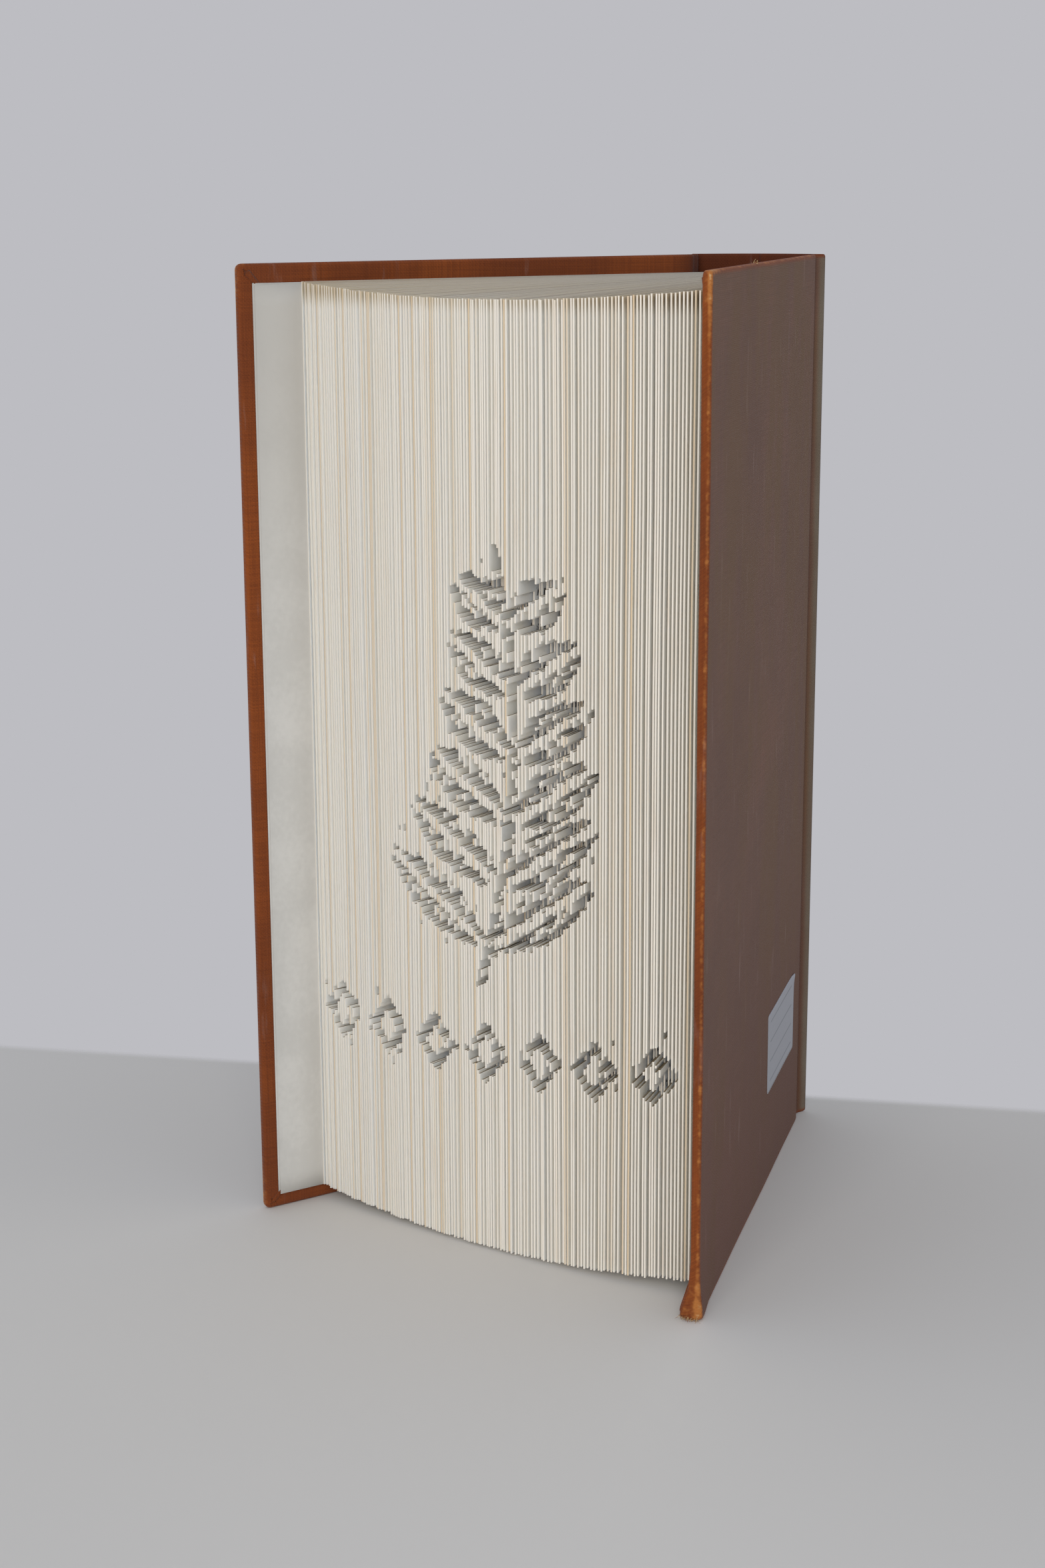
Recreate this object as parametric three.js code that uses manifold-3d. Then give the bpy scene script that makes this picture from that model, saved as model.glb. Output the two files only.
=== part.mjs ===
// A cloth-bound hardback standing on its tail, front cover swung open, with its pages fanned out behind it.
// Units are millimetres, +Z is up. The book is laid out in plan: X runs across the spine from the front
// cover (left) to the back cover (right), and the fore-edge of the pages faces -Y.
// The finished group is moved so that its origin is the middle of its footprint.

import * as THREE from "three";
import { mergeVertices } from "three/addons/utils/BufferGeometryUtils.js";
import Module from "manifold-3d";

const wasm = await Module();
wasm.setup();
const RADIANS = Math.PI / 180;

// Driving dimensions

const cover = {
  height: 235,
  width: 130.6, // from the spine end of the board to the fore-edge
  boardThickness: 1.3,
  clothThickness: 0.35,
  turnIn: 15, // cloth folded over on to the inside of the board
  cornerRadius: 3, // worn fore-edge corners
};
const glueLine = 0.1; // clearance between glued layers

const leaves = {
  blockThickness: 25.8, // the closed text block, measured at the spine
  length: 121, // from the back of the block to the fore-edge
  height: 227,
  tailSquare: 3.5, // how far the tail of the leaves stands above the tail of the covers
  backY: 8, // middle of the rounded back
  backRounding: 3,
  bendOfLast: 14, // how far the last leaf runs straight before it leans
  angleOfLast: 0.5,
  fanBulge: 0.028, // the middle leaves lean a little further than an even fan
  cocked: 2.4, // the last leaf reaches this much further forward than the first
  sag: 2.85, // how far the fore-edge droops in the middle of the fan
  edgeJitter: 0.45, // unevenness of the trimmed leaf edges
  columns: 58, // bundles of leaves that the fore-edge is divided into
};

const opening = 41.8; // angle of the front cover from closed, in degrees
const frontBoardEdge = { outward: 4.3, back: 2.5 }; // spine end of the front board, from the block's side
const backBoardOutward = 3.6; // outer face of the back cover, from the block's side
const firstLeafGap = 0.8; // from the inner face of the front cover to the first leaf
const hinge = { outward: 4.5, back: 4.2 }; // where each cover turns, from the block's side

const endpaper = {
  thickness: 0.2,
  margin: 3, // turn-in left showing around the pasted half
  looseShort: 0.6, // the front's loose half ends this much short of the pasted half
  foldGap: 0.1, // between the pasted half and the loose half, at the front
  foldBack: 1, // the fold lies this far behind the board's spine end
  clearance: 0.3, // from the loose half to the leaves, at the back
};

const spine = {
  shoulderOutward: 4.9, // widest point of the case, from the block's side
  shoulderY: 8,
  rise: 5, // rounding of the case
  cardThickness: 0.8,
  cardInset: 2, // the card stops short of each shoulder
  turnIn: 12,
  liningThickness: 0.5,
  liningShort: 10, // the lining stops this far from the head and the tail of the leaves
  valleyOutward: 2.8, // bottom of the joint's groove, from the block's side
  valleyY: 4.6,
};
const backJoint = { reach: 4, dip: 1 }; // cloth beyond the back board's spine end
const frontJoint = { reach: 1.9, dip: 0.1 };

const label = { length: 38.1, height: 21.2, thickness: 0.1, fromSpineEnd: 9.2, fromTail: 24.7 };

// The ornament is cut into the leaf edges: a leafy branch over a row of diamonds.
const ornament = {
  depth: 7,
  rowHeight: 1.5,
  branch: { foot: 66, top: 172, middle: 52, swing: 10, wavelength: 250, width: 2.6 },
  foliage: { pairs: 6, firstHeight: 76, spacing: 15.5, length: 36, taper: 3.4, halfWidth: 6.2, lean: 56, rib: 2 },
  diamonds: { height: 50, halfHeight: 8, halfWidth: 6.4, hollow: 0.45, spacing: 15, first: 8.5, count: 7 },
};

// Derived sizes

const blockSide = leaves.blockThickness / 2;
const coverThickness = cover.boardThickness + 2 * cover.clothThickness + 2 * glueLine;
const turn = opening * RADIANS;
const frontEdge = new THREE.Vector2(-blockSide - frontBoardEdge.outward, frontBoardEdge.back);
const backEdge = new THREE.Vector2(blockSide + backBoardOutward, 0);
const leafBottom = leaves.tailSquare;
const leafTop = leaves.tailSquare + leaves.height;

// Solids

function toSolid(geometry) {
  const bare = geometry.clone();
  bare.deleteAttribute("normal");
  bare.deleteAttribute("uv");
  const merged = mergeVertices(bare, 1e-5);
  return new wasm.Manifold(
    new wasm.Mesh({
      numProp: 3,
      vertProperties: merged.attributes.position.array,
      triVerts: new Uint32Array(merged.index.array),
    }),
  );
}

function toGeometry(solid) {
  const mesh = solid.getMesh();
  const geometry = new THREE.BufferGeometry();
  geometry.setAttribute("position", new THREE.BufferAttribute(new Float32Array(mesh.vertProperties), 3));
  geometry.setIndex(new THREE.BufferAttribute(new Uint32Array(mesh.triVerts), 1));
  geometry.computeVertexNormals();
  return geometry;
}

function join(first, ...others) {
  return toGeometry(others.reduce((solid, other) => solid.add(toSolid(other)), toSolid(first)));
}

function cut(first, ...others) {
  return toGeometry(others.reduce((solid, other) => solid.subtract(toSolid(other)), toSolid(first)));
}

// A shape drawn in plan and raised from one height to another.
function raised(shape, from, to) {
  const geometry = new THREE.ExtrudeGeometry(shape, {
    depth: to - from,
    bevelEnabled: false,
    curveSegments: 14,
  });
  return geometry.translate(0, 0, from);
}

// A flat sheet in the plane of a cover, from x0 to x1 thick. Its two corners at the fore-edge (y0) are rounded.
function sheet(x0, x1, y0, y1, z0, z1, radius = 0) {
  const outline = new THREE.Shape();
  outline.moveTo(y1, z0);
  outline.lineTo(y1, z1);
  outline.lineTo(y0 + radius, z1);
  if (radius > 0) outline.absarc(y0 + radius, z1 - radius, radius, Math.PI / 2, Math.PI, false);
  outline.lineTo(y0, z0 + radius);
  if (radius > 0) outline.absarc(y0 + radius, z0 + radius, radius, Math.PI, 1.5 * Math.PI, false);
  const geometry = new THREE.ExtrudeGeometry(outline, {
    depth: Math.abs(x1 - x0),
    bevelEnabled: false,
    curveSegments: 5,
  });
  const axes = new THREE.Matrix4().makeBasis(
    new THREE.Vector3(0, 1, 0),
    new THREE.Vector3(0, 0, 1),
    new THREE.Vector3(1, 0, 0),
  );
  return geometry.applyMatrix4(axes).translate(Math.min(x0, x1), 0, 0);
}

// The plan outline of a thin layer that follows a line of points, half its thickness to each side.
function layer(points, thickness) {
  const sides = [[], []];
  points.forEach((point, i) => {
    const before = points[Math.max(i - 1, 0)];
    const after = points[Math.min(i + 1, points.length - 1)];
    const arriving = point.clone().sub(before).normalize();
    const leaving = after.clone().sub(point).normalize();
    if (i === 0) arriving.copy(leaving);
    if (i === points.length - 1) leaving.copy(arriving);
    const mitre = arriving.clone().add(leaving).normalize();
    const normal = new THREE.Vector2(-mitre.y, mitre.x);
    const half = thickness / 2 / normal.dot(new THREE.Vector2(-leaving.y, leaving.x));
    sides[0].push(point.clone().addScaledVector(normal, half));
    sides[1].unshift(point.clone().addScaledVector(normal, -half));
  });
  return new THREE.Shape([...sides[0], ...sides[1]]);
}

function piece(name, geometry, color, roughness) {
  const material = new THREE.MeshStandardMaterial({ color, roughness, metalness: 0 });
  const mesh = new THREE.Mesh(geometry, material);
  mesh.name = name;
  return mesh;
}

const colours = { cloth: 0xa5602a, board: 0x9a8f7c, paper: 0xe2dccb, endpaper: 0xcfcfcb, lining: 0xd8d0bd };

// The leaves

// The plan path of the leaf at u, from 0 for the first leaf to 1 for the last.
function leafPath(u) {
  const across = 2 * u - 1;
  const root = new THREE.Vector2(across * blockSide, leaves.backY - leaves.backRounding * across * across);
  const even = 1 - u + leaves.fanBulge * 4 * u * (1 - u);
  const angle = (leaves.angleOfLast + (opening - leaves.angleOfLast) * even) * RADIANS;
  const bend = THREE.MathUtils.lerp(root.y - kneeOfFirst(), leaves.bendOfLast, u);
  const knee = new THREE.Vector2(root.x, root.y - bend);
  const direction = new THREE.Vector2(-Math.sin(angle), -Math.cos(angle));
  const reach = leaves.length - bend + leaves.cocked * (u - 0.5);
  return { root, knee, direction, reach, bend };
}

// The first leaf bends where its straight part, which is parallel to the front cover, meets the block's side.
function kneeOfFirst() {
  const innerX = frontEdge.x + coverThickness * Math.cos(turn);
  const innerY = frontEdge.y - coverThickness * Math.sin(turn);
  return innerY + ((-blockSide - innerX) * Math.cos(turn) - firstLeafGap) / Math.sin(turn);
}

// Points of one leaf in plan, root first, with the distance along the leaf as a share of its length.
function leafPoints(u, setBack) {
  const { root, knee, direction, reach, bend } = leafPath(u);
  const soft = 0.8 * bend;
  const bendStart = knee.clone().add(new THREE.Vector2(0, soft));
  const bendEnd = knee.clone().addScaledVector(direction, soft);
  const bendMiddle = knee.clone().multiplyScalar(2).add(bendStart).add(bendEnd).divideScalar(4);
  const tip = knee.clone().addScaledVector(direction, reach - setBack);
  return [
    { plan: root, share: 0 },
    { plan: bendStart, share: (bend - soft) / leaves.length },
    { plan: bendMiddle, share: bend / leaves.length },
    { plan: bendEnd, share: (bend + soft) / leaves.length },
    { plan: tip, share: (bend + reach - setBack) / leaves.length },
  ];
}

function scatter(seed) {
  const value = Math.sin(seed * 12.9898) * 43758.5453;
  return value - Math.floor(value);
}

// Whether the ornament removes paper at a place on the fore-edge: x from the first leaf, z from the tail.
function isCut(x, z) {
  const { branch, foliage, diamonds } = ornament;
  const stemAt = (height) =>
    branch.middle + branch.swing * Math.sin((2 * Math.PI * (height - branch.foot)) / branch.wavelength);
  if (z > branch.foot && z < branch.top && Math.abs(x - stemAt(z)) < branch.width / 2) return true;
  for (let pair = 0; pair < foliage.pairs; pair += 1) {
    const height = foliage.firstHeight + pair * foliage.spacing;
    const length = foliage.length - pair * foliage.taper;
    for (const side of [-1, 1]) {
      const lean = foliage.lean * RADIANS;
      const dx = side * (x - stemAt(height));
      const dz = z - height;
      const along = dx * Math.sin(lean) + dz * Math.cos(lean);
      const across = dx * Math.cos(lean) - dz * Math.sin(lean);
      if (along < 0 || along > length) continue;
      const halfWidth = foliage.halfWidth * Math.sin((Math.PI * along) / length) ** 0.8;
      if (Math.abs(across) < halfWidth && Math.abs(across) > foliage.rib / 2) return true;
    }
  }
  for (let i = 0; i < diamonds.count; i += 1) {
    const dx = Math.abs(x - diamonds.first - i * diamonds.spacing) / diamonds.halfWidth;
    const dz = Math.abs(z - diamonds.height) / diamonds.halfHeight;
    if (dx + dz < 1 && dx + dz > diamonds.hollow) return true;
  }
  return false;
}

// The ornament as a grid of bundles and rows, with no two cut cells that meet only at a corner.
function ornamentGrid(edgeLength) {
  const rows = Math.round(leaves.height / ornament.rowHeight);
  const grid = [];
  for (let column = 0; column < leaves.columns; column += 1) {
    const x = (edgeLength * (column + 0.5)) / leaves.columns;
    const inside = column > 0 && column < leaves.columns - 1;
    grid.push(
      Array.from({ length: rows }, (_, row) => {
        const z = (leaves.height * (row + 0.5)) / rows;
        return inside && row > 0 && row < rows - 1 && isCut(x, z);
      }),
    );
  }
  for (let changed = true; changed; ) {
    changed = false;
    for (let column = 1; column < leaves.columns; column += 1) {
      for (let row = 1; row < rows; row += 1) {
        const lowerLeft = grid[column - 1][row - 1];
        const upperRight = grid[column][row];
        const upperLeft = grid[column - 1][row];
        const lowerRight = grid[column][row - 1];
        if (lowerLeft !== upperRight || upperLeft !== lowerRight || lowerLeft === upperLeft) continue;
        grid[column - 1][row - 1] = false;
        grid[column][row - 1] = false;
        changed = true;
      }
    }
  }
  return { grid, rows };
}

function textBlockGeometry() {
  const { columns } = leaves;
  const lines = [];
  for (let line = 0; line <= columns; line += 1) {
    const u = line / columns;
    const atSide = line === 0 || line === columns;
    const setBack = atSide ? 0 : leaves.edgeJitter * scatter(line);
    lines.push({
      droop: leaves.sag * 4 * u * (1 - u),
      outer: leafPoints(u, setBack),
      inner: leafPoints(u, setBack + ornament.depth).at(-1),
    });
  }
  const tips = lines.map((line) => line.outer.at(-1).plan);
  const edgeLength = tips.slice(1).reduce((sum, tip, i) => sum + tip.distanceTo(tips[i]), 0);
  const { grid, rows } = ornamentGrid(edgeLength);

  const triangles = [];
  const place = (line, point, height) =>
    new THREE.Vector3(point.plan.x, point.plan.y, leafBottom + height - line.droop * point.share);
  const face = (...corners) => {
    for (let i = 1; i < corners.length - 1; i += 1) triangles.push(corners[0], corners[i], corners[i + 1]);
  };
  const rowHeight = leaves.height / rows;
  const outerAt = (line, row) => place(lines[line], lines[line].outer.at(-1), row * rowHeight);
  const innerAt = (line, row) => place(lines[line], lines[line].inner, row * rowHeight);

  // Rows at which the cuts beside a line start or stop, with both ends.
  const stops = lines.map((_, line) => {
    const besides = [grid[line - 1], grid[line]].filter(Boolean);
    const found = [0];
    for (let row = 1; row < rows; row += 1) {
      if (besides.some((cells) => cells[row] !== cells[row - 1])) found.push(row);
    }
    return [...found, rows];
  });

  // Fills the strip between two lines, using every stop on each of them.
  const strip = (column, from, to, at) => {
    const left = stops[column].filter((row) => row >= from && row <= to);
    const right = stops[column + 1].filter((row) => row >= from && row <= to);
    let i = 0;
    let j = 0;
    while (i < left.length - 1 || j < right.length - 1) {
      const climbRight = i === left.length - 1 || (j < right.length - 1 && right[j + 1] <= left[i + 1]);
      if (climbRight) {
        face(at(column, left[i]), at(column + 1, right[j]), at(column + 1, right[j + 1]));
        j += 1;
      } else {
        face(at(column, left[i]), at(column + 1, right[j]), at(column, left[i + 1]));
        i += 1;
      }
    }
  };

  for (let column = 0; column < columns; column += 1) {
    const cells = grid[column];
    let start = 0;
    for (let row = 1; row <= rows; row += 1) {
      if (row < rows && cells[row] === cells[row - 1]) continue;
      strip(column, start, row, cells[start] ? innerAt : outerAt);
      if (row < rows) {
        const ledge = [outerAt(column, row), innerAt(column, row)];
        const ledgeRight = [outerAt(column + 1, row), innerAt(column + 1, row)];
        if (cells[row]) face(ledge[0], ledgeRight[0], ledgeRight[1], ledge[1]);
        else face(ledge[0], ledge[1], ledgeRight[1], ledgeRight[0]);
      }
      start = row;
    }
  }

  for (let line = 1; line < columns; line += 1) {
    stops[line].slice(1).forEach((to, i) => {
      const from = stops[line][i];
      const cutLeft = grid[line - 1][from];
      if (cutLeft === grid[line][from]) return;
      const wall = [outerAt(line, from), innerAt(line, from), innerAt(line, to), outerAt(line, to)];
      face(...(cutLeft ? wall.reverse() : wall));
    });
  }

  const steps = lines[0].outer.length - 1;
  const at = (line, step, height) => place(lines[line], lines[line].outer[step], height);
  for (let column = 0; column < columns; column += 1) {
    for (let step = 0; step < steps; step += 1) {
      const corner = (line, offset, height) => at(column + line, step + offset, height);
      const top = leaves.height;
      face(corner(0, 0, top), corner(0, 1, top), corner(1, 1, top), corner(1, 0, top));
      face(corner(0, 0, 0), corner(1, 0, 0), corner(1, 1, 0), corner(0, 1, 0));
    }
    const next = column + 1;
    face(at(column, 0, 0), at(column, 0, leaves.height), at(next, 0, leaves.height), at(next, 0, 0));
  }
  for (let step = 0; step < steps; step += 1) {
    const side = (line) => [
      at(line, step + 1, 0),
      at(line, step + 1, leaves.height),
      at(line, step, leaves.height),
      at(line, step, 0),
    ];
    face(...side(0));
    face(...side(columns).reverse());
  }

  const geometry = new THREE.BufferGeometry().setFromPoints(triangles);
  const merged = mergeVertices(geometry, 1e-4);
  merged.computeVertexNormals();
  return merged;
}

// Paper and cloth glued to the rounded back of the leaves.
function liningGeometry() {
  const offset = glueLine + spine.liningThickness / 2;
  const points = [];
  const steps = 12;
  for (let i = 0; i <= steps; i += 1) {
    const across = (2 * i) / steps - 1;
    const slope = (-2 * leaves.backRounding * across) / blockSide;
    const normal = new THREE.Vector2(-slope, 1).normalize();
    const root = new THREE.Vector2(across * blockSide, leaves.backY - leaves.backRounding * across * across);
    points.push(root.addScaledVector(normal, offset));
  }
  const outline = layer(points, spine.liningThickness);
  return raised(outline, leafBottom + spine.liningShort, leafTop - spine.liningShort);
}

// The spine of the case

const shoulderX = blockSide + spine.shoulderOutward;
const spineRadius = (shoulderX ** 2 + spine.rise ** 2) / (2 * spine.rise);
const spineCentreY = spine.shoulderY + spine.rise - spineRadius;

// A band around the spine's curve, from one depth below its outer face to another, stopping short of the shoulders.
function spineBand(from, to, inset, z0, z1) {
  const half = Math.asin((shoulderX - inset) / spineRadius);
  const outline = new THREE.Shape();
  outline.absarc(0, spineCentreY, spineRadius - from, Math.PI / 2 - half, Math.PI / 2 + half, false);
  outline.absarc(0, spineCentreY, spineRadius - to, Math.PI / 2 + half, Math.PI / 2 - half, true);
  return raised(outline, z0, z1);
}

const cardFrom = cover.clothThickness + glueLine;
const cardTo = cardFrom + spine.cardThickness;
const innerCloth = cardTo + glueLine + cover.clothThickness;
const wrapHeight = cover.clothThickness + glueLine;

function spineCardGeometry() {
  return spineBand(cardFrom, cardTo, spine.cardInset, wrapHeight, cover.height - wrapHeight);
}

function spineClothGeometry() {
  const thickness = cover.clothThickness;
  const parts = [spineBand(0, thickness, 0, 0, cover.height)];
  for (const [low, high, edgeLow, edgeHigh] of [
    [0, spine.turnIn, 0, thickness],
    [cover.height - spine.turnIn, cover.height, cover.height - thickness, cover.height],
  ]) {
    parts.push(spineBand(thickness / 2, innerCloth, spine.cardInset, edgeLow, edgeHigh));
    parts.push(spineBand(innerCloth - thickness, innerCloth, spine.cardInset, low, high));
  }
  for (const side of [-1, 1]) {
    const joint = layer(
      [
        new THREE.Vector2(side * (shoulderX - thickness / 2), spine.shoulderY + thickness / 2),
        new THREE.Vector2(side * (shoulderX - 1), (spine.shoulderY + spine.valleyY) / 2),
        new THREE.Vector2(side * (blockSide + spine.valleyOutward), spine.valleyY),
      ],
      thickness,
    );
    parts.push(raised(joint, 0, cover.height));
  }
  return join(...parts);
}

// The covers. Each is built with its outer face on x = 0 and its spine end on y = 0. inward is the direction
// of X that points to the leaves.

function coverBoardGeometry(inward) {
  const near = cover.clothThickness + glueLine;
  return sheet(
    inward * near,
    inward * (near + cover.boardThickness),
    -cover.width + near,
    0,
    near,
    cover.height - near,
    cover.cornerRadius - near,
  );
}

function coverClothGeometry(inward, joint) {
  const thickness = cover.clothThickness;
  const { width, height, turnIn, cornerRadius } = cover;
  const past = 1; // the cutting shapes run this far past the faces that they open
  const wrap = sheet(0, inward * coverThickness, -width, 0, 0, height, cornerRadius);
  const room = sheet(
    inward * thickness,
    inward * (coverThickness - thickness),
    -width + thickness,
    past,
    thickness,
    height - thickness,
    cornerRadius - thickness,
  );
  const window = sheet(
    inward * (coverThickness / 2),
    inward * (coverThickness + past),
    -width + turnIn,
    past,
    turnIn,
    height - turnIn,
  );
  const middle = (inward * thickness) / 2;
  const overlap = 1;
  const flange = layer(
    [
      new THREE.Vector2(middle, -overlap),
      new THREE.Vector2(middle, 0),
      new THREE.Vector2(middle + inward * joint.dip * 0.6, joint.reach / 2),
      new THREE.Vector2(middle + inward * joint.dip, joint.reach),
    ],
    thickness,
  );
  return join(cut(wrap, room, window), raised(flange, 0, height));
}

// A sheet folded at the joint: one half pasted to the cover, the other lying loose against the leaves.
function endpaperGeometry(inward, looseHalf) {
  const pasted = inward * (coverThickness + glueLine + endpaper.thickness / 2);
  const points = [
    new THREE.Vector2(pasted, -cover.width + endpaper.margin),
    new THREE.Vector2(pasted, endpaper.foldBack),
    ...looseHalf,
  ];
  return raised(layer(points, endpaper.thickness), leafBottom, leafTop);
}

// Assembly

const book = new THREE.Group();

book.add(piece("text_block", textBlockGeometry(), colours.paper, 0.9));
book.add(piece("spine_lining", liningGeometry(), colours.lining, 0.95));
book.add(piece("spine_card", spineCardGeometry(), colours.board, 0.95));
book.add(piece("spine_cloth", spineClothGeometry(), colours.cloth, 0.85));

// Each cover hangs in a group whose origin is on its hinge axis, which is vertical and just outside the joint.
function coverOnHinge(side, edge, rotation) {
  const axis = new THREE.Group();
  axis.position.set(side * (blockSide + hinge.outward), hinge.back, 0);
  const swung = new THREE.Group();
  swung.position.set(edge.x - axis.position.x, edge.y - axis.position.y, 0);
  swung.rotation.z = rotation;
  axis.add(swung);
  book.add(axis);
  return swung;
}

const backCover = coverOnHinge(1, backEdge, 0);
backCover.add(piece("back_board", coverBoardGeometry(-1), colours.board, 0.95));
backCover.add(piece("back_cover_cloth", coverClothGeometry(-1, backJoint), colours.cloth, 0.85));

const lastLeaf = leafPoints(1, 0);
const besideLeaf = endpaper.clearance + endpaper.thickness / 2;
const backLoose = [
  new THREE.Vector2(lastLeaf[0].plan.x + besideLeaf, endpaper.foldBack),
  new THREE.Vector2(lastLeaf[3].plan.x + besideLeaf, lastLeaf[3].plan.y),
  new THREE.Vector2(lastLeaf[4].plan.x + besideLeaf, lastLeaf[4].plan.y),
].map((point) => point.sub(backEdge));
backCover.add(piece("back_endpaper", endpaperGeometry(-1, backLoose), colours.endpaper, 0.9));

const sticker = sheet(
  glueLine,
  glueLine + label.thickness,
  -label.fromSpineEnd - label.length,
  -label.fromSpineEnd,
  label.fromTail,
  label.fromTail + label.height,
);
backCover.add(piece("shelf_label", sticker, 0xe8e8ea, 0.6));

const frontCover = coverOnHinge(-1, frontEdge, -turn);
frontCover.add(piece("front_board", coverBoardGeometry(1), colours.board, 0.95));
frontCover.add(piece("front_cover_cloth", coverClothGeometry(1, frontJoint), colours.cloth, 0.85));

const looseX = coverThickness + glueLine + endpaper.thickness * 1.5 + endpaper.foldGap;
const looseEnd = -cover.width + endpaper.margin + endpaper.looseShort;
const frontLoose = [new THREE.Vector2(looseX, endpaper.foldBack), new THREE.Vector2(looseX, looseEnd)];
frontCover.add(piece("front_endpaper", endpaperGeometry(1, frontLoose), colours.endpaper, 0.9));

// The origin is under the middle of the whole book, on the surface that it stands on.
book.updateMatrixWorld(true);
const middle = new THREE.Box3().setFromObject(book, true).getCenter(new THREE.Vector3());
book.position.set(-middle.x, -middle.y, 0);
book.updateMatrixWorld(true);

export default book;
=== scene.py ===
import math
import random

import bmesh
import bpy
from mathutils import Matrix, Vector, noise


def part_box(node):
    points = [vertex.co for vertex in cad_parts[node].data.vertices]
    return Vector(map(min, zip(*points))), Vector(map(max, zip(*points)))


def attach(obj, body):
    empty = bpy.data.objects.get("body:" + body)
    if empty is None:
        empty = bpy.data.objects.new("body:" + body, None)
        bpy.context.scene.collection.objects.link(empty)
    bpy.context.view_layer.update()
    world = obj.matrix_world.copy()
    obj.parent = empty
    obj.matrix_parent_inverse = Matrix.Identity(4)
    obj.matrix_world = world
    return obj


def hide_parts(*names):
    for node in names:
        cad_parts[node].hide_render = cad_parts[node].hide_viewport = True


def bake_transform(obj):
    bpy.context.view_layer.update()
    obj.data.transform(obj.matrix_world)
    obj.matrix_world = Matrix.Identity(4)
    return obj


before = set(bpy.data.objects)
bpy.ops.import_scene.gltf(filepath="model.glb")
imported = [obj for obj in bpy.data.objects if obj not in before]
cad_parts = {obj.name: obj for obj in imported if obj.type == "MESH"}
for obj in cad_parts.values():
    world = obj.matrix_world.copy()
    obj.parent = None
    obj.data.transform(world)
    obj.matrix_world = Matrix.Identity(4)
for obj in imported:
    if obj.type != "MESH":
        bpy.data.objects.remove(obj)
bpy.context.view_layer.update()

# A cloth-bound hardback standing on its tail, with its leaves fanned between the covers.
# Sizes are in millimetres, in the book's own plan: x across the spine, the fore-edge towards -y, z up.

# The covers and their cloth
COVER_HEIGHT = 235.0
COVER_WIDTH = 130.6
COVER_THICKNESS = 2.2
CLOTH = 0.35
ARRIS = 0.7
CORNER = 1.5
TURN_IN = 15.0
SPINE_TURN_IN = 12.0

# The leaves
BLOCK_HALF = 12.9
LEAF_LENGTH = 121.0
LEAF_BOTTOM = 3.5
LEAF_HEIGHT = 227.0
LEAF_COUNT = 132
LEAF_THICKNESS = 0.36  # at the fore-edge, where the paper is a little wavy; thinner towards the spine
SAG = 2.85  # how far the leaves in the middle of the fan droop
CUT_DEPTH = (6.4, 7.6)
CUT_STEP = 0.5
CUT_MARGIN = 4.0  # the uncut stretch at each end of a leaf
PRINT_LINE = 4.2

# The ornament, with heights counted from the tail of the leaves and x along their edges
STEM = (66, 172)
STEM_HALF = 1.3
TWIGS = 6
FIRST_TWIG = 76
TWIG_STEP = 15.5
TWIG_LEAN = math.radians(56)
DIAMONDS = 7
FIRST_DIAMOND = (8.5, 50)
DIAMOND_STEP = 15

# Wear and label, placed by length and height on the back cover
WORN_CORNER = 9.0
WORN_DIAGONAL = 12.7
HEAD_FRAY = -79.0
LABEL_LENGTH = 38.1
LABEL_HEIGHT = 21.2
LABEL_PLACE = (-9.2, 24.7)

# The front cover's opening, and the spine ends of both covers in plan
OPENING = math.radians(41.8)
FRONT_EDGE = Vector((-BLOCK_HALF - 4.3, 2.5))
BACK_EDGE = Vector((BLOCK_HALF + 3.6, 0.0))

# The case's rounded spine, from one shoulder to the other
SHOULDER_X = 17.8
SHOULDER_Y = 8.0
SPINE_RISE = 5.0
SPINE_RADIUS = (SHOULDER_X**2 + SPINE_RISE**2) / (2 * SPINE_RISE)

spine_low, spine_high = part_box("spine_cloth")
cover_low, cover_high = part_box("back_cover_cloth")
PLAN_X = (spine_low.x + spine_high.x) * 500
PLAN_Y = cover_low.y * 1000 + COVER_WIDTH


def to_row(x, y, z):
    """A place in the book's plan, in millimetres, as a point of the shared frame, in metres."""
    return Vector(((x + PLAN_X) / 1000, (y + PLAN_Y) / 1000, z / 1000))


def smooth(low, high, value):
    """A soft step: 0 at low and before it, 1 at high and past it. It falls where high is below low."""
    share = min(max((value - low) / (high - low), 0.0), 1.0)
    return share * share * (3 - 2 * share)


def mix(a, b, share):
    return a + (b - a) * share


def lay_line(bm, count):
    """A line of joined points, still without their places. Returns its points and edges."""
    verts = [bm.verts.new() for _ in range(count)]
    return verts, [bm.edges.new(pair) for pair in zip(verts, verts[1:])]


def grow(bm, verts, edges):
    """Extrudes a line once. Returns the new points, in the same order, with their edges and faces."""
    grown = bmesh.ops.extrude_edge_only(bm, edges=edges)["geom"]
    fresh = {g for g in grown if isinstance(g, bmesh.types.BMVert)}
    line = [next(e.other_vert(v) for e in v.link_edges if e.other_vert(v) in fresh) for v in verts]
    new_edges = [g for g in grown if isinstance(g, bmesh.types.BMEdge) and all(v in fresh for v in g.verts)]
    return line, new_edges, [g for g in grown if isinstance(g, bmesh.types.BMFace)]


def lay_sheet(bm, columns, rows):
    """A flat sheet of quads with its points at the given columns (x) and rows (y)."""
    verts, edges = lay_line(bm, len(rows))
    for index, column in enumerate(columns):
        if index:
            verts, edges, _ = grow(bm, verts, edges)
        for vert, row in zip(verts, rows):
            vert.co = (column, row, 0)


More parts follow.
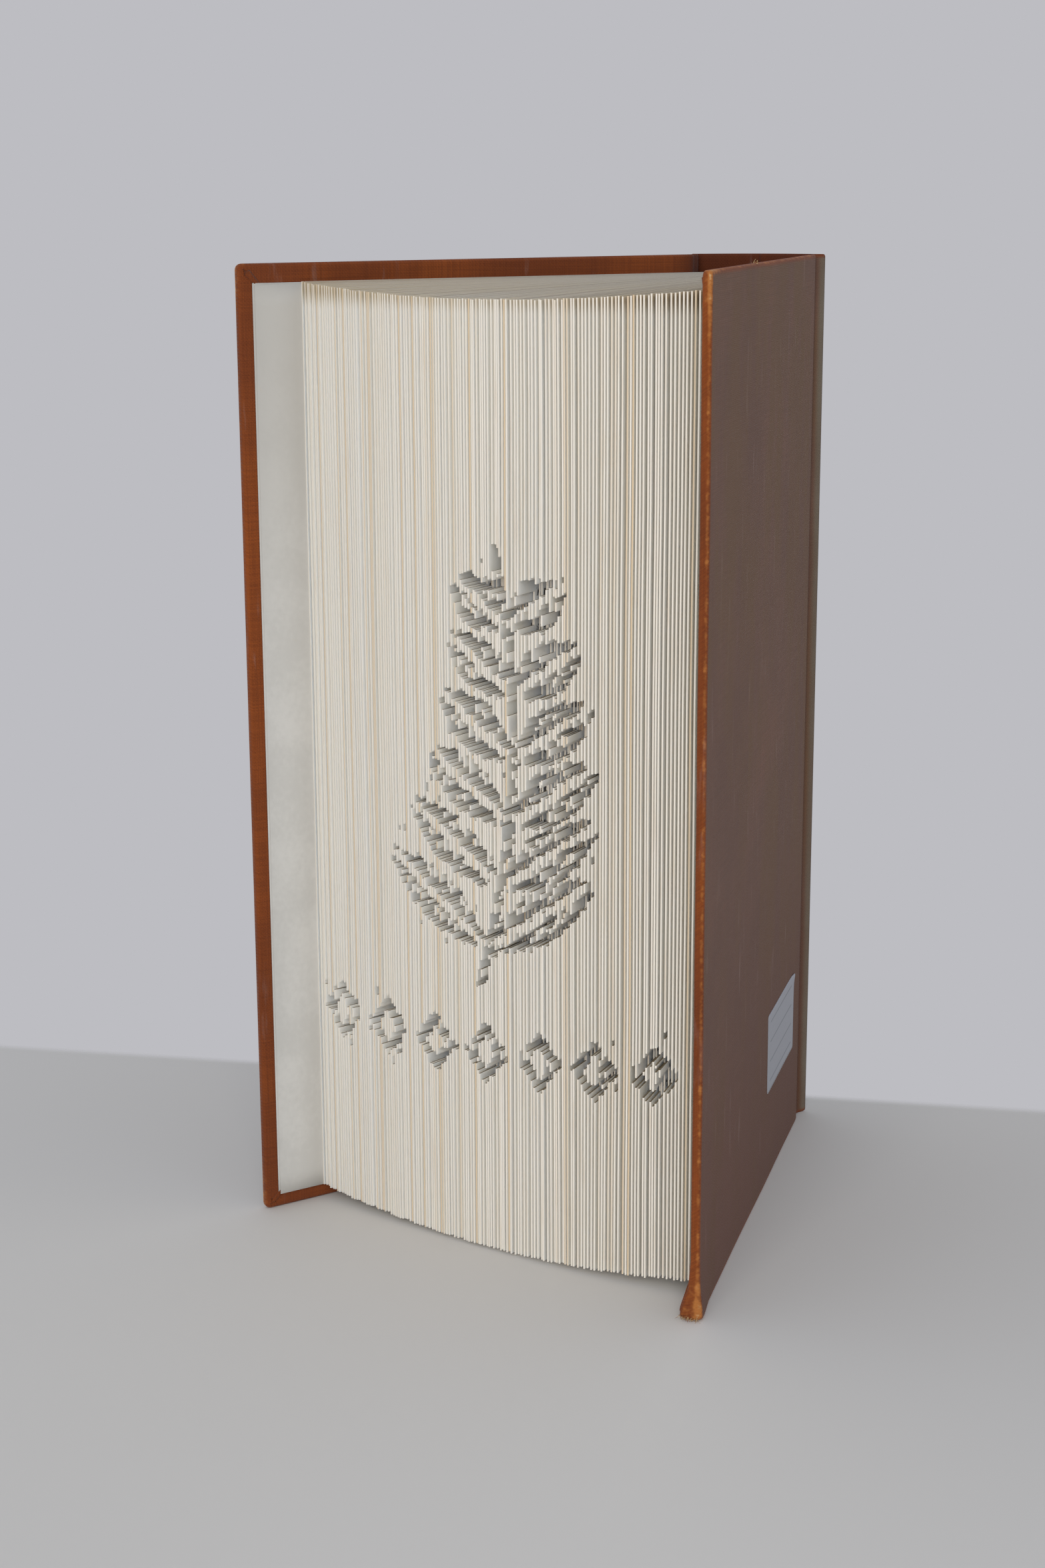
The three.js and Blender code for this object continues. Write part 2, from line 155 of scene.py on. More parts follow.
def finish_mesh(name, bm, materials, smooth_faces=True, outer=None):
    """Makes an object at the origin from a bmesh that is already in metres.
    For an open skin, outer holds one face of its outside and a direction that leads into the piece."""
    bm.normal_update()
    bmesh.ops.recalc_face_normals(bm, faces=bm.faces)
    bm.normal_update()
    if outer and outer[0].normal.dot(outer[1]) > 0:
        bmesh.ops.reverse_faces(bm, faces=bm.faces[:])
    for face in bm.faces:
        face.smooth = smooth_faces
    mesh = bpy.data.meshes.new(name)
    bm.to_mesh(mesh)
    bm.free()
    for material in materials:
        mesh.materials.append(material)
    piece = bpy.data.objects.new(name, mesh)
    bpy.context.scene.collection.objects.link(piece)
    return piece


def thicken(piece, millimetres, offset, rim_material=0):
    """Gives a thin sheet its thickness, inwards where the offset is -1 and to both sides where it is 0."""
    solid = piece.modifiers.new("thickness", "SOLIDIFY")
    solid.thickness = millimetres / 1000
    solid.offset = offset
    solid.use_even_offset = False
    solid.material_offset_rim = rim_material


# Node helpers


def rgb(red, green, blue):
    """An 8-bit display colour as the linear colour that a socket takes."""
    shares = (red / 255, green / 255, blue / 255)
    linear = [c / 12.92 if c <= 0.04045 else ((c + 0.055) / 1.055) ** 2.4 for c in shares]
    return (*linear, 1.0)


class Nodes:
    """Short ways to add and join the nodes of one tree."""

    def __init__(self, tree):
        self.tree = tree

    def add(self, kind, **values):
        node = self.tree.nodes.new(kind)
        for key, value in values.items():
            setattr(node, key, value)
        return node

    def feed(self, socket, value):
        if isinstance(value, bpy.types.NodeSocket):
            self.tree.links.new(value, socket)
        else:
            socket.default_value = value

    def math(self, operation, *values, clamp=False):
        node = self.add("ShaderNodeMath", operation=operation, use_clamp=clamp)
        for socket, value in zip(node.inputs, values):
            self.feed(socket, value)
        return node.outputs[0]

    def noise(self, vector, scale, detail=3.0, roughness=0.5):
        node = self.add("ShaderNodeTexNoise")
        self.feed(node.inputs["Vector"], vector)
        node.inputs["Scale"].default_value = scale
        node.inputs["Detail"].default_value = detail
        node.inputs["Roughness"].default_value = roughness
        return node.outputs["Fac"]

    def stretch(self, vector, x, y, z):
        node = self.add("ShaderNodeVectorMath", operation="MULTIPLY")
        self.feed(node.inputs[0], vector)
        node.inputs[1].default_value = (x, y, z)
        return node.outputs["Vector"]

    def split(self, vector):
        node = self.add("ShaderNodeSeparateXYZ")
        self.feed(node.inputs[0], vector)
        return node.outputs

    def band(self, value, low, high, to_low=0.0, to_high=1.0):
        """A soft step of a value from low to high."""
        node = self.add("ShaderNodeMapRange", interpolation_type="SMOOTHSTEP")
        self.feed(node.inputs["Value"], value)
        node.inputs["From Min"].default_value = low
        node.inputs["From Max"].default_value = high
        node.inputs["To Min"].default_value = to_low
        node.inputs["To Max"].default_value = to_high
        return node.outputs["Result"]

    def mix(self, factor, a, b):
        node = self.add("ShaderNodeMix", data_type="RGBA")
        self.feed(node.inputs["Factor"], factor)
        self.feed(node.inputs[6], a)
        self.feed(node.inputs[7], b)
        return node.outputs[2]

    def attribute(self, name):
        return self.add("ShaderNodeAttribute", attribute_name=name).outputs["Fac"]

    def bump(self, height, strength, distance):
        node = self.add("ShaderNodeBump")
        self.feed(node.inputs["Height"], height)
        node.inputs["Strength"].default_value = strength
        node.inputs["Distance"].default_value = distance
        return node.outputs["Normal"]

    def place(self):
        return self.add("ShaderNodeTexCoord").outputs["Object"]


def new_material(name):
    """A material with its node helper and its shader."""
    material = bpy.data.materials.new(name)
    material.use_nodes = True
    shader = material.node_tree.nodes["Principled BSDF"]
    return material, Nodes(material.node_tree), shader


def new_group(name, inputs, outputs):
    """A node group with its node helper, its given sockets and the sockets to feed."""
    tree = bpy.data.node_groups.new(name, "ShaderNodeTree")
    for label, kind, value in inputs:
        socket = tree.interface.new_socket(label, in_out="INPUT", socket_type=kind)
        if value is not None:
            socket.default_value = value
    for label, kind in outputs:
        tree.interface.new_socket(label, in_out="OUTPUT", socket_type=kind)
    nodes = Nodes(tree)
    return tree, nodes, nodes.add("NodeGroupInput").outputs, nodes.add("NodeGroupOutput").inputs


def use_group(nodes, tree, **values):
    """Puts a group into a material with some of its inputs set, and returns what it puts out."""
    node = nodes.add("ShaderNodeGroup", node_tree=tree)
    for label, value in values.items():
        nodes.feed(node.inputs[label.replace("_", " ").capitalize()], value)
    return node.outputs


def weave_group():
    """Plain book cloth: crossed threads of uneven thickness. Puts out the height and the thread tone."""
    tree, n, given, out = new_group(
        "woven_threads",
        [("Place", "NodeSocketVector", None), ("Threads", "NodeSocketFloat", 2400.0)],
        [("Height", "NodeSocketFloat"), ("Tone", "NodeSocketFloat")],
    )
    place = n.split(given["Place"])
    shift = n.math("MULTIPLY", n.noise(given["Place"], 900, 1.0), 0.7)
    u = n.math("ADD", n.math("MULTIPLY", place[0], given["Threads"]), shift)
    v = n.math("ADD", n.math("MULTIPLY", place[1], given["Threads"]), shift)
    across = n.math("ABSOLUTE", n.math("SINE", n.math("MULTIPLY", u, math.pi)))
    along = n.math("ABSOLUTE", n.math("SINE", n.math("MULTIPLY", v, math.pi)))
    cell = n.math("ADD", n.math("FLOOR", u), n.math("FLOOR", v))
    over = n.math("ABSOLUTE", n.math("MODULO", cell, 2.0))
    warp = n.math("MULTIPLY", over, across)
    weft = n.math("MULTIPLY", n.math("SUBTRACT", 1.0, over), along)
    slub = n.math(
        "ADD",
        n.noise(n.stretch(given["Place"], 40, 2600, 40), 1.0, 1.0),
        n.noise(n.stretch(given["Place"], 2600, 40, 40), 1.0, 1.0),
    )
    n.feed(out["Height"], n.math("ADD", n.math("ADD", warp, weft), n.math("MULTIPLY", slub, 0.45)))
    n.feed(out["Tone"], n.band(slub, 0.75, 1.25))
    return tree


def fibre_group():
    """Uncoated paper: fine fibres and slow clouding. Puts out the height and the clouding."""
    tree, n, given, out = new_group(
        "paper_fibres",
        [("Place", "NodeSocketVector", None)],
        [("Height", "NodeSocketFloat"), ("Clouds", "NodeSocketFloat")],
    )
    slow = n.math("MULTIPLY", n.noise(given["Place"], 60, 3.0), 0.7)
    quick = n.math("MULTIPLY", n.noise(given["Place"], 700, 2.0), 0.3)
    n.feed(out["Height"], n.noise(given["Place"], 2600, 3.0, 0.65))
    n.feed(out["Clouds"], n.math("ADD", slow, quick))
    return tree


WOVEN = weave_group()
FIBRES = fibre_group()


def cloth_material():
    """Rust-brown book cloth. Its outer faces are greyed, partly by handling and partly by a painted sheen of
    the pale room at grazing angles, and darker and browner near the tail, partly in the cloth's own colour
    and partly as painted shade from the floor.
    The spine is paled by sunlight and carries a painted grazing sheen, the joint's crease holds painted
    shade, the inside of the turn-ins along the spine is darkened with painted shade, and the edges are rubbed
    to tan."""
    material, n, shader = new_material("binding_cloth")
    place = n.place()
    height = n.split(place)[2]
    along = n.attribute("s")
    uv = n.add("ShaderNodeUVMap", uv_map="cloth").outputs["UV"]
    weave = use_group(n, WOVEN, place=uv)
    clouds = n.noise(place, 22, 4.0, 0.6)
    specks = n.noise(place, 420, 2.0, 0.7)
    streaks = n.noise(n.stretch(place, 60, 60, 14), 1.0, 4.0, 0.6)
    scuffs = n.noise(n.stretch(place, 300, 300, 45), 1.0, 3.0, 0.6)

    rust = n.mix(n.band(clouds, 0.35, 0.65), rgb(120, 58, 20), rgb(142, 72, 26))
    rust = n.mix(n.math("MULTIPLY", weave["Tone"], 0.35), rust, rgb(88, 38, 12))
    # The inside of the turn-ins along the spine is darkened here: painted shade.
    inside_spine_shade = n.math("MULTIPLY", n.band(n.attribute("d"), 0.6, 0.9), n.band(along, -9.0, 2.0))
    rust = n.mix(n.math("MULTIPLY", inside_spine_shade, 0.8), rust, rgb(74, 30, 12))

    # The outer face's greyed mauve-brown: partly the cloth greyed by handling, partly a painted sheen of the
    # pale room seen at grazing angles.
    faded_and_sheen = n.mix(n.band(clouds, 0.3, 0.7), rgb(108, 80, 64), rgb(126, 90, 72))
    faded_and_sheen = n.mix(n.math("MULTIPLY", weave["Tone"], 0.4), faded_and_sheen, rgb(96, 70, 56))
    faded_and_sheen = n.mix(n.band(streaks, 0.45, 0.65, 0.0, 0.6), faded_and_sheen, rgb(112, 84, 52))
    # Darker and browner towards the tail: partly the cloth's own colour, partly painted shade from the floor.
    faded_and_sheen = n.mix(n.band(height, 0.11, 0.0, 0.0, 0.55), faded_and_sheen, rgb(88, 48, 30))
    # The spine's pale grey-olive: partly paled by sunlight, partly a painted grazing sheen on the shoulder.
    sunned_and_sheen = n.mix(n.band(clouds, 0.3, 0.7), rgb(112, 100, 84), rgb(124, 112, 96))
    faded_and_sheen = n.mix(n.band(along, 6.0, 8.0), faded_and_sheen, sunned_and_sheen)
    # A dark band in the joint's crease: painted shade.
    groove_shade = n.math("MULTIPLY", n.band(along, 0.0, 1.6), n.band(along, 6.6, 4.6))
    faded_and_sheen = n.mix(n.math("MULTIPLY", groove_shade, 0.85), faded_and_sheen, rgb(78, 50, 34))

    # This mask turns the outer face, away from its edges, to the greyed colour: handling and painted sheen.
    handling_and_sheen = n.math("MULTIPLY", n.attribute("handling_and_sheen"), n.band(clouds, 0.2, 0.6, 0.8, 1.0))
    colour = n.mix(handling_and_sheen, rust, faded_and_sheen)
    uneven = n.math("MULTIPLY", n.math("SUBTRACT", specks, 0.5), 1.1)
    rub = n.math("ADD", n.attribute("rubbed"), uneven)
    colour = n.mix(n.band(rub, 0.45, 0.95, 0.0, 0.75), colour, rgb(190, 122, 60))
    colour = n.mix(n.band(rub, 0.95, 1.3, 0.0, 0.9), colour, rgb(214, 186, 138))
    colour = n.mix(n.math("MULTIPLY", n.band(scuffs, 0.6, 0.8), 0.3), colour, rgb(170, 146, 138))
    n.feed(shader.inputs["Base Color"], colour)
    n.feed(shader.inputs["Roughness"], n.band(clouds, 0.3, 0.7, 0.78, 0.9))
    shader.inputs["Specular IOR Level"].default_value = 0.25
    shader.inputs["Sheen Weight"].default_value = 0.12
    shader.inputs["Sheen Roughness"].default_value = 0.5
    shader.inputs["Sheen Tint"].default_value = rgb(226, 214, 214)
    n.feed(shader.inputs["Normal"], n.bump(weave["Height"], 0.55, 0.00012))
    return material


def leaf_material():
    """The faces of the leaves: cream at the edge, whiter inside, browner at the head with dusty paper and
    painted shade, with rows of plain dashes for print. The last leaves by the back cover are lighter: painted
    light."""
    material, n, shader = new_material("leaf_face")
    place = n.place()
    fibres = use_group(n, FIBRES, place=place)
    depth = n.attribute("depth")
    height = n.math("MULTIPLY", n.split(place)[2], 1000.0)

    # The tone attribute also lightens the last leaves by the back cover: painted light.
    cream = n.mix(n.attribute("tone"), rgb(252, 241, 222), rgb(254, 248, 236))
    inside = n.mix(fibres["Clouds"], rgb(244, 244, 243), rgb(249, 249, 248))
    colour = n.mix(n.band(depth, 3.5, 7.0), cream, inside)
    colour = n.mix(n.band(depth, 0.0, 0.25, 0.35, 0.0), colour, rgb(226, 208, 180))
    # Browner at the head: dusty paper and painted shade.
    colour = n.mix(n.band(height, 224, 229, 0.0, 0.9), colour, rgb(176, 158, 130))

    line = n.math("FRACT", n.math("DIVIDE", height, PRINT_LINE))
    rows = n.math("MULTIPLY", n.band(line, 0.28, 0.34), n.band(line, 0.78, 0.72))
    letters = n.add("ShaderNodeCombineXYZ")
    n.feed(letters.inputs[0], n.math("MULTIPLY", depth, 1.35))
    n.feed(letters.inputs[1], n.math("MULTIPLY", height, 0.9))
    n.feed(letters.inputs[2], n.math("MULTIPLY", n.attribute("leaf"), 7.3))
    marks = n.band(n.noise(letters.outputs[0], 1.0, 1.0), 0.47, 0.53)
    between = n.math("MULTIPLY", n.band(height, 20, 20.3), n.band(height, 214, 213.7))
    page = n.math("MULTIPLY", n.math("MULTIPLY", n.band(depth, 7.3, 7.7), between), 0.9)
    printed = n.math("MULTIPLY", n.math("MULTIPLY", rows, marks), page)
    colour = n.mix(printed, colour, rgb(42, 42, 46))

    n.feed(shader.inputs["Base Color"], colour)
    n.feed(shader.inputs["Roughness"], n.band(fibres["Clouds"], 0.3, 0.7, 0.82, 0.92))
    shader.inputs["Specular IOR Level"].default_value = 0.2
    n.feed(shader.inputs["Normal"], n.bump(fibres["Height"], 0.25, 0.00004))
    shader.inputs["Subsurface Weight"].default_value = 1.0
    shader.inputs["Subsurface Radius"].default_value = (1.0, 0.9, 0.8)
    shader.inputs["Subsurface Scale"].default_value = 0.002
    return material


def leaf_edge_material():
    """The trimmed edges of the leaves: browner than their faces, uneven, and darker on the faces that look up
    at the head, with dusty paper and painted shade. The last leaves by the back cover are lighter: painted
    light.
    """
    material, n, shader = new_material("leaf_edge")
    place = n.place()
    # The tone attribute also lightens the last leaves by the back cover: painted light.
    tone = n.attribute("tone")
    grain = n.noise(n.stretch(place, 900, 900, 60), 1.0, 2.0)
    colour = n.mix(n.band(tone, 0.25, 0.55), rgb(226, 202, 168), rgb(244, 236, 222))
    colour = n.mix(n.band(grain, 0.5, 0.75, 0.0, 0.3), colour, rgb(214, 190, 158))
    # Darker on faces that look up at the head: dusty edges and painted shade.
    upward = n.split(n.add("ShaderNodeTexCoord").outputs["Normal"])[2]
    dust_and_shade = n.mix(n.band(tone, 0.25, 0.6), rgb(104, 92, 72), rgb(132, 118, 94))
    colour = n.mix(n.band(upward, 0.5, 0.8), colour, dust_and_shade)
    n.feed(shader.inputs["Base Color"], colour)
    n.feed(shader.inputs["Roughness"], n.band(grain, 0.3, 0.7, 0.85, 0.95))
    shader.inputs["Specular IOR Level"].default_value = 0.2
    return material


def endpaper_material():
    """Smooth pale paper with a little foxing, greyer near the head."""
    material, n, shader = new_material("endpaper")
    place = n.place()
    fibres = use_group(n, FIBRES, place=place)
    colour = n.mix(n.band(fibres["Clouds"], 0.35, 0.65), rgb(196, 194, 188), rgb(206, 204, 198))
    colour = n.mix(n.band(n.split(place)[2], 0.12, 0.23, 0.0, 0.8), colour, rgb(182, 179, 172))
    foxing = n.band(n.noise(place, 95, 4.0, 0.7), 0.68, 0.8, 0.0, 0.25)
    colour = n.mix(foxing, colour, rgb(198, 184, 160))
    n.feed(shader.inputs["Base Color"], colour)
    n.feed(shader.inputs["Roughness"], n.band(fibres["Clouds"], 0.3, 0.7, 0.6, 0.72))
    shader.inputs["Specular IOR Level"].default_value = 0.3
    n.feed(shader.inputs["Normal"], n.bump(fibres["Height"], 0.2, 0.00003))
    return material


def board_material():
    """Grey-brown board with dark flecks."""
    material, n, shader = new_material("millboard")
    place = n.place()
    fibres = use_group(n, FIBRES, place=place)
    colour = n.mix(n.band(fibres["Clouds"], 0.3, 0.7), rgb(132, 120, 100), rgb(172, 158, 134))
    flecks = n.band(n.noise(place, 500, 2.0, 0.7), 0.62, 0.72, 0.0, 0.6)
    colour = n.mix(flecks, colour, rgb(88, 76, 62))
    n.feed(shader.inputs["Base Color"], colour)
    n.feed(shader.inputs["Roughness"], n.band(fibres["Clouds"], 0.3, 0.7, 0.88, 0.96))
    n.feed(shader.inputs["Normal"], n.bump(fibres["Height"], 0.5, 0.0001))
    return material


def lining_material():
    """Open-weave cloth and glue over the back of the leaves."""
    material, n, shader = new_material("spine_lining")
    place = n.place()
    turned = n.add("ShaderNodeCombineXYZ")
    n.feed(turned.inputs[0], n.split(place)[0])
    n.feed(turned.inputs[1], n.split(place)[2])
    weave = use_group(n, WOVEN, place=turned.outputs[0], threads=1100.0)
    glue = n.noise(place, 120, 4.0, 0.6)
    colour = n.mix(n.band(glue, 0.35, 0.65), rgb(196, 180, 148), rgb(222, 212, 190))
    colour = n.mix(n.math("MULTIPLY", weave["Tone"], 0.3), colour, rgb(160, 140, 104))
    n.feed(shader.inputs["Base Color"], colour)
    n.feed(shader.inputs["Roughness"], n.band(glue, 0.35, 0.65, 0.55, 0.95))
    n.feed(shader.inputs["Normal"], n.bump(weave["Height"], 0.6, 0.00025))
    return material


def label_material():
    """A plain paper label with a few faint ruled lines."""
    material, n, shader = new_material("label_paper")
    place = n.place()
    fibres = use_group(n, FIBRES, place=place)
    uv = n.add("ShaderNodeUVMap", uv_map="label").outputs["UV"]
    across, up, _ = n.split(uv)
    rule = n.math("FRACT", n.math("MULTIPLY", up, 4.0))
    rules = n.math("MULTIPLY", n.band(rule, 0.46, 0.49), n.band(rule, 0.56, 0.53))
    margin = n.math("MULTIPLY", n.band(across, 0.08, 0.1), n.band(across, 0.92, 0.9))
    colour = n.mix(fibres["Clouds"], rgb(160, 161, 167), rgb(174, 175, 181))
    colour = n.mix(n.math("MULTIPLY", n.math("MULTIPLY", rules, margin), 0.6), colour, rgb(92, 94, 104))
    n.feed(shader.inputs["Base Color"], colour)
    n.feed(shader.inputs["Roughness"], n.band(fibres["Clouds"], 0.3, 0.7, 0.42, 0.55))
    n.feed(shader.inputs["Normal"], n.bump(fibres["Height"], 0.2, 0.00003))
    return material


def thread_material():
    """Loose ends of the cloth's threads."""
    material, n, shader = new_material("frayed_thread")
    place = n.place()
    tone = n.noise(place, 1500, 2.0)
    n.feed(shader.inputs["Base Color"], n.mix(n.band(tone, 0.35, 0.6), rgb(214, 190, 140), rgb(150, 92, 44)))
    n.feed(shader.inputs["Roughness"], n.band(tone, 0.3, 0.7, 0.8, 0.95))
    return material


CLOTH_LOOK = cloth_material()
LEAF_LOOK = leaf_material()
LEAF_EDGE_LOOK = leaf_edge_material()
ENDPAPER_LOOK = endpaper_material()
BOARD_LOOK = board_material()
LINING_LOOK = lining_material()
LABEL_LOOK = label_material()
THREAD_LOOK = thread_material()


# The leaves


def knee_of_first():
    """The plan y at which the first leaf bends, so that it lies against the open front cover."""
    inner_x = FRONT_EDGE.x + COVER_THICKNESS * math.cos(OPENING)
    inner_y = FRONT_EDGE.y - COVER_THICKNESS * math.sin(OPENING)
    return inner_y + ((-BLOCK_HALF - inner_x) * math.cos(OPENING) - 0.8) / math.sin(OPENING)


def leaf_line(u, v):
    """Plan points of one leaf, root first. u places its root across the block and v its turn in the fan."""
    across = 2 * u - 1
    root = Vector((across * BLOCK_HALF, 8 - 3 * across * across))
    last = math.radians(0.5)
    angle = last + (OPENING - last) * (1 - v + 0.028 * 4 * v * (1 - v))
    bend = mix(root.y - knee_of_first(), 14.0, u)
    knee = Vector((root.x, root.y - bend))
    direction = Vector((-math.sin(angle), -math.cos(angle)))
    start = knee + Vector((0, 0.8 * bend))
    end = knee + direction * 0.8 * bend
    points = [root]
    for step in range(5):
        t = step / 4
        points.append(start * (1 - t) ** 2 + knee * 2 * t * (1 - t) + end * t * t)
    reach = LEAF_LENGTH - bend + 2.4 * (u - 0.5)
    return points, knee, direction, reach, bend


def in_ornament(x, z):
    """Whether the cut ornament takes paper away: a leafy branch over a row of diamonds."""

    def stem(height):
        return 52 + 10 * math.sin(2 * math.pi * (height - STEM[0]) / 250)

    if STEM[0] < z < STEM[1] and abs(x - stem(z)) < STEM_HALF:
        return True
    for pair in range(TWIGS):
        height = FIRST_TWIG + pair * TWIG_STEP
        length = 36 - pair * 3.4
        for side in (-1, 1):
            dx = side * (x - stem(height))
            dz = z - height
            along = dx * math.sin(TWIG_LEAN) + dz * math.cos(TWIG_LEAN)
            across = dx * math.cos(TWIG_LEAN) - dz * math.sin(TWIG_LEAN)
            if 0 < along < length:
                half = 6.2 * math.sin(math.pi * along / length) ** 0.8
                if 1.0 < abs(across) < half:
                    return True
    for index in range(DIAMONDS):
        middle = FIRST_DIAMOND[0] + index * DIAMOND_STEP
        size = abs(x - middle) / 6.4 + abs(z - FIRST_DIAMOND[1]) / 8
        if 0.45 < size < 1:
            return True
    return False


def leaf_cuts(x, dice):
    """The stretches of one leaf's fore-edge that are cut away, as pairs of heights."""
    runs = []
    for index in range(int(LEAF_HEIGHT / CUT_STEP)):
        z = (index + 0.5) * CUT_STEP
        if not in_ornament(x, z):
            continue
        if runs and z - runs[-1][1] < 1.01 * CUT_STEP:
            runs[-1][1] = z
        else:
            runs.append([z, z])
    cuts = []
    for low, high in runs:
        low += dice.uniform(-0.9, 0.6)
        high += dice.uniform(-0.6, 0.9)
        start = low
        while high - start > 4.5 and dice.random() < 0.62:
            stop = start + dice.uniform(1.6, 4.0)
            cuts.append([start, stop])
            start = stop + dice.uniform(0.7, 2.6)
        if high - start > 0.7:
            cuts.append([start, high])
    near = [z for run in runs for z in run]
    if near and dice.random() < 0.55:
        z = dice.choice(near) + dice.choice((-1, 1)) * dice.uniform(2.0, 5.0)
        cuts.append([z, z + dice.uniform(0.9, 2.2)])
    cuts.sort()
    merged = []
    for low, high in cuts:
        low, high = max(low, CUT_MARGIN), min(high, LEAF_HEIGHT - CUT_MARGIN)
        if merged and low < merged[-1][1] + 0.5:
            merged[-1][1] = max(merged[-1][1], high)
        elif high - low > 0.5:
            merged.append([low, high])
    return merged


def cut_rows(cuts):
    """The heights at which one leaf has points: the ends of its cuts, and plain steps between them."""
    rows = [0.0, LEAF_HEIGHT]
    for cut in cuts:
        rows += cut
    rows += [z for z in (k * LEAF_HEIGHT / 10 for k in range(1, 10)) if all(abs(z - r) > 4 for r in rows)]
    return sorted(rows)


def build_leaf(bm, layers, weights, leaf, line, cuts, dice):
    """One leaf as a strip of faces from its root to the fore-edge, with its cuts open."""
    points, knee, direction, reach, bend = line
    u = leaf / (LEAF_COUNT - 1)
    set_back = dice.uniform(0.0, 0.35)
    deep = dice.uniform(*CUT_DEPTH)
    tail_shift = dice.gauss(0.0, 0.16) + 0.25 * noise.noise(Vector((leaf * 0.31, 0.5, 0)))
    head_shift = dice.gauss(0.0, 0.08)
    # A random paper tone; the last leaves by the back cover get a lighter one, painted light that offsets the
    # cover's shadow on them.
    tone = min(max(0.62 + dice.gauss(0, 0.22) + 0.25 * smooth(0.8, 1.0, u), 0.0), 1.0)
    droop = SAG * 4 * u * (1 - u)
    side = Vector((-direction.y, direction.x))
    far = reach - set_back
    stations = [*points, *(knee + direction * mix(0.8 * bend, far - deep, share) for share in (0.45, 0.8))]
    stations += [knee + direction * (far - deep), knee + direction * far]

    rows = cut_rows(cuts)
    verts, edges = lay_line(bm, len(rows))
    faces = []
    travelled = 0.0
    for index, plan in enumerate(stations):
        if index:
            travelled += (plan - stations[index - 1]).length
            verts, edges, faces = grow(bm, verts, edges)
        share = travelled / LEAF_LENGTH
        depth = {len(stations) - 2: deep, len(stations) - 1: 0.0}.get(index, max(0.0, far + bend - travelled))
        for z, vert in zip(rows, verts):
            height = z + (1 - z / LEAF_HEIGHT) * tail_shift * share + z / LEAF_HEIGHT * head_shift * share
            wave = 0.22 * share * share * noise.noise(Vector((leaf * 0.06, z * 0.018, travelled * 0.01)))
            spot = plan + side * wave
            vert.co = to_row(spot.x, spot.y, LEAF_BOTTOM + height - droop * share)
            vert[layers["depth"]] = depth
            vert[layers["tone"]] = tone
            vert[layers["leaf"]] = float(leaf)
            vert[weights][0] = mix(0.42, 1.0, share * share)

    def is_cut(face):
        z = face.calc_center_median().z * 1000 - LEAF_BOTTOM + droop * (LEAF_LENGTH - 3) / LEAF_LENGTH
        return any(low < z < high for low, high in cuts)

    bmesh.ops.delete(bm, geom=[face for face in faces if is_cut(face)], context="FACES")


def build_pages():
    """All the leaves, fanned between the covers."""
    dice = random.Random(7)
    gaps = [max(0.45, dice.gauss(1.0, 0.27)) for _ in range(LEAF_COUNT - 1)]
    turns = [0.0]
    for gap in gaps:
        turns.append(turns[-1] + gap / sum(gaps))
    bm = bmesh.new()
    layers = {name: bm.verts.layers.float.new(name) for name in ("depth", "tone", "leaf")}
    weights = bm.verts.layers.deform.verify()
    along_edge = 0.0
    last_tip = None
    for leaf, turn in enumerate(turns):
        line = leaf_line(leaf / (LEAF_COUNT - 1), turn)
        _, knee, direction, reach, _ = line
        tip = knee + direction * reach
        if last_tip is not None:
            along_edge += (tip - last_tip).length
        last_tip = tip
        cuts = leaf_cuts(along_edge, dice) if 1 < leaf < LEAF_COUNT - 2 else []
        build_leaf(bm, layers, weights, leaf, line, cuts, dice)
    pages = finish_mesh("pages", bm, [LEAF_LOOK, LEAF_EDGE_LOOK], smooth_faces=False)
    pages.vertex_groups.new(name="thickness")
    thicken(pages, LEAF_THICKNESS, 0.0, 1)
    pages.modifiers["thickness"].vertex_group = "thickness"
    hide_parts("text_block")
    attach(pages, "block")
    return pages


# The case: one skin of cloth for each cover, its joint and its half of the spine


def catmull(points, steps):
    """A smooth line through plan points."""
    line = []
    ends = [points[0] * 2 - points[1], *points, points[-1] * 2 - points[-2]]
    for i in range(1, len(ends) - 2):
        a, b, c, d = ends[i - 1 : i + 3]
        for k in range(steps):
            t = k / steps
            second = 2 * a - 5 * b + 4 * c - d
            third = 3 * b - a - 3 * c + d
            line.append(0.5 * (2 * b + (c - a) * t + second * t * t + third * t**3))
    line.append(points[-1])
    return line


def spine_arc(side, count):
    """Plan points of the rounded spine, from one shoulder to its middle."""
    centre = Vector((0, SHOULDER_Y + SPINE_RISE - SPINE_RADIUS))
    full = math.asin(SHOULDER_X / SPINE_RADIUS)
    turns = [full * (1 - k / count) for k in range(1, count)]
    turns += [0.4 / SPINE_RADIUS, 0.0]
    return [centre + SPINE_RADIUS * Vector((side * math.sin(t), math.cos(t))) for t in turns]


def joint_line(side):
    """Plan points of the cloth's outer face from the cover's spine end to the middle of the spine."""
    if side > 0:
        knots = [(16.5, 0), (16.3, 1.3), (15.8, 2.9), (15.55, 4.4), (16.1, 6.0), (17.1, 7.3), (17.7, 8.4)]
    else:
        knots = [(-17.2, 2.5), (-16.55, 3.25), (-15.95, 4.1), (-15.8, 5.0), (-16.4, 6.4)]
        knots += [(-17.25, 7.6), (-17.7, 8.5)]
    return catmull([Vector(k) for k in knots], 3) + spine_arc(side, 13)


